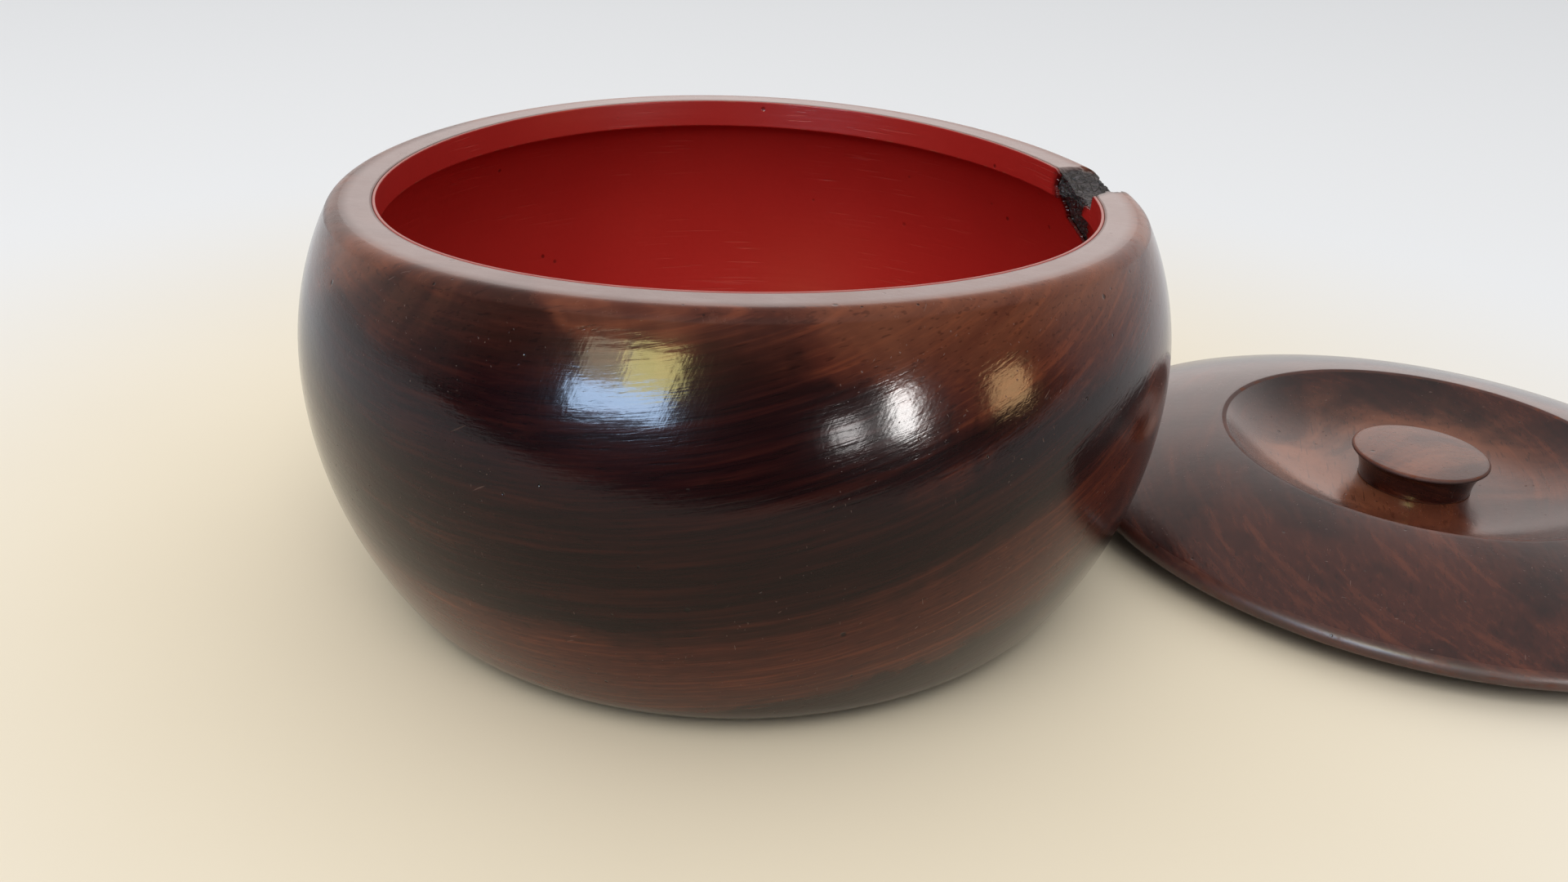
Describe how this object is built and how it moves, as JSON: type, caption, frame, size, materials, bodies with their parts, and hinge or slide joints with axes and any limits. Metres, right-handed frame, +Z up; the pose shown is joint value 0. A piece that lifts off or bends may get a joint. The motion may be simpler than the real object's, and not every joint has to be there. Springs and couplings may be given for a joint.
{
  "type": "go stone bowl",
  "caption": "Turned, lacquered wooden go stone bowl with a red lacquered inside and a loose dished lid that has a flat knob.",
  "frame": {"origin": "centre of the bowl's flat foot, on the table", "axes": "+Z up along the bowl's axis; +X from the bowl towards the lid lying beside it"},
  "size_m": [0.281, 0.15, 0.069],
  "materials": {
    "wood": "gloss",
    "red_lacquer": "satin"
  },
  "bodies": {
    "bowl": {"bowl_shell": "wood", "bowl_lining": "red_lacquer"},
    "lid": {"lid_plate": "wood", "lid_lining": "red_lacquer", "lid_knob": "wood"}
  },
  "joints": [
    {"name": "lid_lift", "type": "slide", "parent": "bowl", "child": "lid", "axis": [0.5, 0, 0.866], "range_m": [0, 0.12]}
  ]
}
